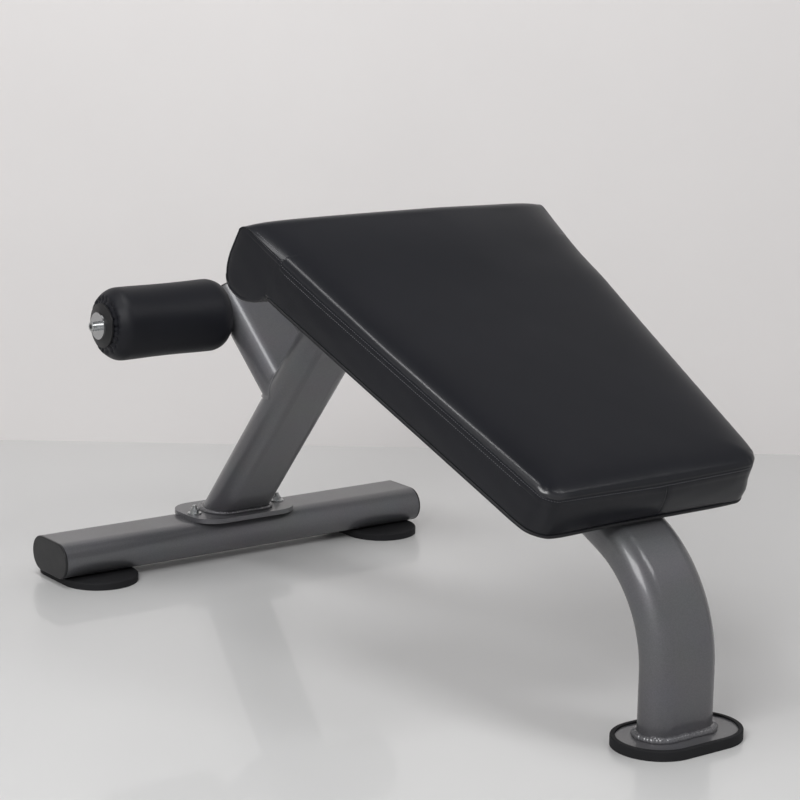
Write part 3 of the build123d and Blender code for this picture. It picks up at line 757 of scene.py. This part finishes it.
# the rolled edge hangs a little over the seam, along the slope of the distance
step = 1e-4
slope_u = edge_distance(u_grid + step, y_grid) - edge_distance(u_grid - step, y_grid)
slope_y = edge_distance(u_grid, y_grid + step) - edge_distance(u_grid, y_grid - step)
steepness = np.hypot(slope_u, slope_y) + 1e-12
overhang = 0.0011 * (1 - np.exp(-inside / 0.0003)) * np.exp(-inside / 0.0035) * ridge
u_top = u_grid - overhang * slope_u / steepness
y_top = y_grid - overhang * slope_y / steepness

# underside: the hem and the roll, with a rounded lower edge
low_round = np.where(u_grid > notch_station, 0.006, 0.003)
tuck = np.clip(1 - inside / low_round, 0, 1)
n_under = under_line(u_grid) + 0.001 * (u_grid < notch_station)
n_under += low_round * (1 - np.sqrt(1 - tuck**2))


def rim(grid):
    """Edge of a grid as one closed line: near side up, high end, far side down, low end."""
    return np.concatenate([grid[:-1, 0], grid[-1, :-1], grid[:0:-1, -1], grid[0, :0:-1]])


# side band: hangs from the seam to the lower edge. Its outward direction is square
# to the rim, away from the pad's middle.
pad_middle = 0.35
rim_u, rim_y, rim_top, rim_low = rim(u_grid), rim(y_grid), rim(n_top), rim(n_under)
ahead_u = np.roll(rim_u, -1) - np.roll(rim_u, 1)
ahead_y = np.roll(rim_y, -1) - np.roll(rim_y, 1)
ahead_length = np.hypot(ahead_u, ahead_y)
out_u, out_y = ahead_y / ahead_length * -1, ahead_u / ahead_length
turned_out = np.sign(out_y * rim_y + out_u * (rim_u - pad_middle))
out_u, out_y = out_u * turned_out, out_y * turned_out
below_seam = spaced(
    *(0, 0.25, 0.6, 1.0, 1.5, 2.0, 2.5, 3.0, 3.6, 4.4, 5.4),
    *(6.6, 7.8, 8.8, 9.5, 10.0, 10.5, 11.2, 12.4, 14, 16.5, 20),
)
above_edge = spaced(20, 16, 13, 10.5, 8.5, 7, 5.8, 4.8, 4.0, 3.2, 2.5, 1.9, 1.3, 0.8, 0.35, 0)
height = (rim_top - rim_low)[None]
middle_share = np.linspace(0, 1, 9)[1:-1, None]
drop_rows = np.concatenate(
    [
        below_seam[:, None] + 0 * height,
        below_seam[-1] + middle_share * (height - below_seam[-1] - above_edge[0]),
        height - above_edge[:, None],
    ]
)
n_band = rim_top - drop_rows
share = drop_rows / height
bowed = np.sin(pi * np.clip(share, 0, 1))
on_sides = smooth_step(0.02, 0.034, np.where(rim_u > 0.3, 1.0, rim_u))[None]
at_back = (rim_u > pad_length - 1e-5)[None]

# it bellies out, most in the middle of the low face and least on the roll
low_face = np.clip(1 - np.abs(rim_y) / 0.19, 0, 1)[None] * (1 - on_sides)
belly = 0.0012 + 0.0045 * np.sqrt(low_face)
past_notch = smooth_step(notch_station - 0.03, notch_station + 0.03, rim_u)
out = belly * bowed**0.8 * (1 - 0.7 * past_notch)

# a lip under the seam, a line drawn in by each row of stitches, and puckers
stitched = 1 - smooth_step(pad_length - 0.03, pad_length - 0.012, rim_u)[None]
lip = 0.0006 * (1 - np.exp(-drop_rows / 0.0004)) * np.exp(-((drop_rows / 0.0105) ** 6))
first_row, second_row = hump(0.0025, 0.0006, drop_rows), hump(0.0100, 0.0006, drop_rows)
out = out + (lip - 0.0005 * first_row - 0.0003 * second_row * on_sides) * stitched
run_along = np.where(on_sides > 0.5, rim_u, rim_y)
pucker = gathers(run_along, 1.9) * np.exp(-drop_rows / 0.014) * smooth_step(0, 0.003, drop_rows)
out += 0.0004 * pucker * stitched * (1 - share)
out = np.where(at_back, 0, out)
out += 0.0006 * loose_cover(run_along, drop_rows * 2, 2.6) * bowed * ~at_back

# the flat ends of the roll are drawn in towards a raised, piped rim
on_roll = smooth_step(0.618, 0.645, rim_u)[None] * ~at_back
rim_in = roll_rim_distance(rim_u[None], n_band)
piped = 0.0024 * hump(0.0016, 0.0012, rim_in) - 0.0036 * np.exp(-rim_in / 0.006)
off_seams = smooth_step(0, 0.003, drop_rows) * smooth_step(0, 0.002, height - drop_rows)
out += piped * on_roll * off_seams

# the band's two ends lap over each other in the middle of the low face
lapped = (1 - on_sides) * smooth_step(0, 0.004, drop_rows)
lapped = lapped * np.clip(share * 6, 0, 1) * np.clip((1 - share) * 8, 0, 1)
past_lap = rim_y[None] - (lap + 0.0012 * np.sin(drop_rows * 55))
over_lap, under_lap = 0.0013 * np.exp(past_lap / 0.010), -0.0017 * np.exp(-past_lap / 0.0030)
out += lapped * np.where(past_lap < 0, over_lap, under_lap)
out -= lapped * 0.0016 * hump(0.0006, 0.0008, past_lap)

# the back swells out between its seams
swell = 0.0042 * bowed * (0.9 + 0.3 * share) * smooth_step(pad_length - 0.04, pad_length, rim_u)
u_band = rim_u + out * out_u + swell
y_band = rim_y + out * out_y

# the vinyl: PVC calendered on knit, with a fine leather grain that keeps it satin
pad_vinyl, tree, shader = new_material(
    "black_upholstery_vinyl", Specular_IOR_Level=0.3, Coat_Roughness=0.28
)
place = add_node(tree, "ShaderNodeTexCoord")
warp = noise(tree, place.outputs["Object"], 500.0, 2.0)
bent = add_node(
    tree,
    "ShaderNodeMix",
    {"data_type": "VECTOR", 0: 0.0008},
    {4: place.outputs["Object"], 5: warp.outputs["Color"]},
)
# grain cells are 0.7 mm, drawn at 1.4 mm to show
cells = add_node(
    tree,
    "ShaderNodeTexVoronoi",
    {"feature": "DISTANCE_TO_EDGE", "Scale": 700.0},
    {"Vector": bent.outputs[1]},
)
pits = add_node(
    tree, "ShaderNodeMapRange", {"From Max": 0.18}, {"Value": cells.outputs["Distance"]}
)
# handling polishes it and warms its black in patches 100 mm across
handled = noise(tree, place.outputs["Object"], 9.0, 4.0)
colour_between(tree, shader, "#0e0f15", "#13141b", handled.outputs["Fac"])
satin = roughness_between(tree, shader, 0.28, 0.35, handled.outputs["Fac"])
bumps(tree, shader, 0.4, 0.00006, pits.outputs["Result"])
# where it is stretched tight over the ridge, it shines as if it had a clear coat
stretched = add_node(tree, "ShaderNodeAttribute", {"attribute_name": "stretched"})
tree.links.new(stretched.outputs["Fac"], shader.inputs["Coat Weight"])

# how tightly the top is stretched: along the ridge, most at the left and low down
tight = ridge * hump(0.0022, 0.0030, inside) * (0.1 + 0.9 * smooth_step(0.15, 0.19, -y_grid))
tight = tight * (1 - 0.6 * smooth_step(0.15, 0.5, u_grid))
top_points = on_pad(u_top, y_top, n_top)
under_points = on_pad(u_grid, y_grid, n_under)
band_points = on_pad(u_band, y_band, n_band)
count = u_grid.size
pad_piece = new_piece(
    "pad_upholstery",
    np.concatenate([part.reshape(-1, 3) for part in (top_points, under_points, band_points)]),
    np.concatenate(
        [
            grid_faces(*u_grid.shape, False),
            grid_faces(*u_grid.shape, False, count),
            grid_faces(*u_band.shape, True, 2 * count),
        ]
    ),
    pad_vinyl,
    marks={"stretched": np.concatenate([tight.ravel(), np.zeros(count + u_band.size)])},
)
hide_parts("pad_cover", "pad_foam")


# -------------------------------------------------------------- pad edging
# An extruded bead of black PVC, tacked round the underside over the cover's hem.
# It stands up to 2 mm proud of the sides and dies out in front of the knee roll.
edging, tree, shader = new_material("extruded_black_pvc", Specular_IOR_Level=0.25)
place = add_node(tree, "ShaderNodeTexCoord")
# faint die lines and scuffs, a few millimetres long
scuff = noise(tree, place.outputs["Object"], 180.0, 4.0)
colour_between(tree, shader, "#1c1c1e", "#29292c", scuff.outputs["Fac"])
roughness_between(tree, shader, 0.38, 0.5, scuff.outputs["Fac"])

# the rim from the roll's far end round the low end to its near end
far_start = u_grid.shape[0] + u_grid.shape[1] - 2
sewn = np.concatenate([np.arange(far_start, len(rim_u)), np.arange(0, u_grid.shape[0] - 1)])
hem = sewn[rim_u[sewn] < notch_station - 0.004]
hem_u, hem_y = rim_u[hem], rim_y[hem]
around = np.linspace(0, 2 * pi, 16, endpoint=False)[:, None]
bead = 0.0026 * smooth_step(0.002, 0.012, notch_station - hem_u)[None] + 1e-5
proud = -0.0008 - 0.0012 * smooth_step(0.12, 0.18, hem_y) + bead * np.cos(around)
bead_points = on_pad(
    hem_u + proud * out_u[hem],
    hem_y + proud * out_y[hem],
    0.0024 + bead * np.sin(around) + 0 * hem_u,
)
new_piece(
    "pad_edging",
    np.swapaxes(bead_points, 0, 1),
    grid_faces(len(hem), len(around)),
    edging,
)


# ------------------------------------------------------------ pad topstitching
# Dark grey bonded polyester thread, in stitches 2.4 mm long and 4.2 mm apart. One
# row runs round the seam, one along each side, and one beside each end of the roll.
thread, tree, shader = new_material("bonded_polyester_thread", Sheen_Weight=0.15)
place = add_node(tree, "ShaderNodeTexCoord")
# the twist of the thread, 0.5 mm
twist = add_node(
    tree,
    "ShaderNodeTexWave",
    {"Scale": 320.0, "Distortion": 2.0, "bands_direction": "DIAGONAL"},
    {"Vector": place.outputs["Object"]},
)
colour_between(tree, shader, "#58585d", "#7a7a80", twist.outputs["Fac"])
roughness_between(tree, shader, 0.3, 0.5, twist.outputs["Fac"])


def stitches(path, outward, pitch=0.0042, length=0.0024, radius=0.0004):
    """Row of stitches along a line: each is a short thread that rises out of the
    vinyl, bows over it and dives back in. Returns points and quads."""
    run = np.concatenate([[0], np.cumsum(np.linalg.norm(np.diff(path, axis=0), axis=1))])
    middles = np.arange(pitch, run[-1] - pitch, pitch)
    centre, forward, away = (
        np.stack([np.interp(middles, run, values[:, k]) for k in range(3)], -1)
        for values in (path, np.gradient(path, axis=0), outward)
    )
    forward = unit(forward)
    away = unit(away - np.sum(away * forward, axis=1, keepdims=True) * forward)
    aside = np.cross(forward, away)
    t = np.array([-1, -0.98, -0.7, 0, 0.7, 0.98, 1])[:, None]
    around = np.arange(6)[None] * pi / 3
    girth = radius * np.array([0, 0.7, 1, 1, 1, 0.7, 0])[:, None]
    lengthwise = t * length / 2 + 0 * around
    sideways = girth * np.cos(around)
    raised = girth * np.sin(around) + 0.0005 * (1 - t**2) - 0.00035
    local = [part[None, ..., None] for part in (lengthwise, sideways, raised)]
    frames = [part[:, None, None, :] for part in (forward, aside, away)]
    points = centre[:, None, None, :] + sum(a * b for a, b in zip(local, frames))
    one = grid_faces(len(t), around.size)
    faces = (np.arange(len(middles)) * t.size * around.size)[:, None, None] + one[None]
    return points.reshape(-1, 3), faces.reshape(-1, 4)


# one row 2.5 mm below the seam, as far as the roll, and two more 10 mm below it
upper_line, lower_line = below_seam.searchsorted((0.0025, 0.0100))
sewn = sewn[rim_u[sewn] < 0.668]
band_out = out_u[:, None] * up_pad + out_y[:, None] * across
rows_of_thread = [(band_points[upper_line][sewn], band_out[sewn])]
for end in (sewn[rim_y[sewn] > 0], sewn[rim_y[sewn] < 0]):
    on_side = end[(rim_u[end] < 0.585) & (rim_u[end] > 0.045)]
    rows_of_thread.append((band_points[lower_line][on_side], band_out[on_side]))
# the last two cross the roll's top, 4.8 mm in from its ends
beside_roll = (rows > 0.595) & (rows < 0.667)
for column, side in ((7, -1), (-8, 1)):
    line = top_points[beside_roll, column]
    rows_of_thread.append((line, 0.7 * off_pad + 0.7 * side * across + 0 * line))
thread_points, thread_faces, held = [], [], 0
for path, outward in rows_of_thread:
    points, faces = stitches(path, outward)
    thread_points.append(points)
    thread_faces.append(faces + held)
    held += len(points)
new_piece(
    "pad_topstitch",
    np.concatenate(thread_points),
    np.concatenate(thread_faces),
    thread,
)


# ------------------------------------------------------- pad board and backing
# A birch plywood board carries the foam, and is bolted to the brackets through
# its T-nuts. Needle-punched black felt is stapled over its underside.
felt, tree, shader = new_material(
    "black_backing_felt", Roughness=0.95, Specular_IOR_Level=0.2, Sheen_Weight=0.2
)
place = add_node(tree, "ShaderNodeTexCoord")
# tufts 1.5 mm across, with no shine of their own
tufts = noise(tree, place.outputs["Object"], 650.0, 5.0)
colour_between(tree, shader, "#141415", "#2a2a2c", tufts.outputs["Fac"])
bumps(tree, shader, 0.7, 0.0003, tufts.outputs["Fac"])
finish(felt, "pad_base_cover")

# plies 1.5 mm thick show at the board's edge, light and dark in turn
ply_pair = 0.003
plywood, tree, shader = new_material("birch_plywood", Roughness=0.7)
place = add_node(tree, "ShaderNodeTexCoord")
layer = add_node(
    tree,
    "ShaderNodeVectorMath",
    {"operation": "DOT_PRODUCT", 1: tuple(off_pad)},
    {0: place.outputs["Object"]},
)
plies = add_node(
    tree,
    "ShaderNodeMath",
    {"operation": "MULTIPLY", 1: 2 * pi / ply_pair},
    {0: layer.outputs["Value"]},
)
ply = add_node(tree, "ShaderNodeMath", {"operation": "SINE"}, {0: plies.outputs["Value"]})
ply_share = add_node(
    tree, "ShaderNodeMapRange", {"From Min": -0.3, "From Max": 0.3}, {"Value": ply.outputs["Value"]}
)
grain_line = add_node(
    tree, "ShaderNodeMapping", {"Scale": (1.0, 0.05, 1.0)}, {"Vector": place.outputs["Object"]}
)
grain = noise(tree, grain_line.outputs["Vector"], 260.0, 4.0)
wood = add_node(
    tree,
    "ShaderNodeMix",
    {"data_type": "RGBA", 6: linear("#c9a878"), 7: linear("#8f6b45")},
    {0: ply_share.outputs["Result"]},
)
tone = add_node(
    tree,
    "ShaderNodeMix",
    {"data_type": "RGBA", "blend_type": "MULTIPLY", 0: 0.35},
    {6: wood.outputs[2], 7: grain.outputs["Color"]},
)
tree.links.new(tone.outputs[2], shader.inputs["Base Color"])
finish(plywood, "pad_board")


# --------------------------------------------------------- foam ankle rollers
# Foam tubes on steel sleeves in sewn vinyl covers. Each cover is drawn in with
# gathers round the plastic cup at its outer end, and turns with its roller.
roller_vinyl = pad_vinyl.copy()
roller_vinyl.name = "matt_black_roller_vinyl"
tree = roller_vinyl.node_tree
dull = tree.nodes[satin.name]
dull.inputs["To Min"].default_value, dull.inputs["To Max"].default_value = 0.46, 0.54
# nothing stretches it, so it keeps no extra shine
tree.nodes.remove(tree.nodes[stretched.name])
cover_start = 0.0638
cover_end = 0.2915
bore_radius = 0.0192
gather_count = 21
seam_angle = 4.4
points_around = 432


def roller_outline():
    """Radius and station of the cover from its inner hole round to its outer hole and
    back along the bore: quarter rounds at both ends, and a slight waist between."""
    a = np.linspace(0, pi / 2, 24)
    body = np.linspace(0, 1, 46)[1:-1]
    inner_radius, outer_radius = 0.0612, 0.0607
    inner_round = outer_round = 0.031
    body_start, body_end = cover_start + inner_round, cover_end - outer_round
    waist = 0.0014 * np.sin(pi * body) ** 1.5
    bore = np.linspace(1, 0, 5)
    radius = np.concatenate(
        [
            [bore_radius, 0.024],
            inner_radius - inner_round + inner_round * np.sin(a),
            inner_radius + (outer_radius - inner_radius) * body - waist,
            outer_radius - outer_round + outer_round * np.cos(a),
            [0.030, 0.027, 0.023],
            np.full(len(bore), bore_radius),
        ]
    )
    station = np.concatenate(
        [
            [cover_start, cover_start],
            body_start - inner_round * np.cos(a),
            body_start + body * (body_end - body_start),
            body_end + outer_round * np.sin(a),
            [cover_end] * 3,
            cover_start + bore * (cover_end - cover_start),
        ]
    )
    return radius, station


for side_name, side, seed in (("left", -1, 0.4), ("right", 1, 2.9)):
    radius, station = roller_outline()
    phi = np.linspace(0, 2 * pi, points_around, endpoint=False)[None]
    radius, station = radius[:, None] + 0 * phi, station[:, None] + 0 * phi
    # gathers: rounded folds with sharp valleys, uneven in width and depth
    wander = 0.6 * np.sin(3 * phi + seed) + 0.35 * np.sin(7 * phi + 2 * seed)
    fold = 1 - np.abs(np.cos(gather_count / 2 * phi + wander)) ** 0.8
    depth = 0.65 + 0.35 * np.sin(5 * phi + 3 * seed) * np.sin(11 * phi + seed)
    near_cup = (station > cover_end - 0.0300) & (radius > 0.0305)
    strength = np.where(near_cup, smooth_step(0.0530, 0.0420, radius), 0)
    station = station - 0.0030 * fold * depth * strength
    radius = radius - 0.0012 * fold * depth * strength
    # a soft trough round the cup with a mound outside it
    ring = np.where(station > 0.25, 1.0, 0.0) * np.where(radius > 0.033, 1.0, 0.0)
    trough, mound = hump(0.0415, 0.0035, radius), hump(0.0490, 0.0035, radius)
    station = station - 0.0016 * trough * ring + 0.0016 * mound * ring
    # the cover is pulled unevenly along its length
    body_share = smooth_step(0.0560, 0.0590, radius)
    radius = radius + body_share * (
        0.00035 * np.sin(2 * phi + 2 * pi * station / 0.31 + seed)
        + 0.00012 * np.sin(5 * phi - 2 * pi * station / 0.17 + seed)
    )
    # seam of the sewn tube, turned towards the floor
    radius = radius - 0.0009 * body_share * hump(seam_angle, 0.012, phi)
    points = [axle_x + radius * np.cos(phi), side * station, axle_z + radius * np.sin(phi)]
    cover = new_piece(
        f"roller_upholstery_{side_name}",
        np.stack(points, -1),
        grid_faces(*radius.shape),
        roller_vinyl,
        body=f"roller_{side_name}",
    )
    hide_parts(f"roller_cover_{side_name}", f"roller_foam_{side_name}")
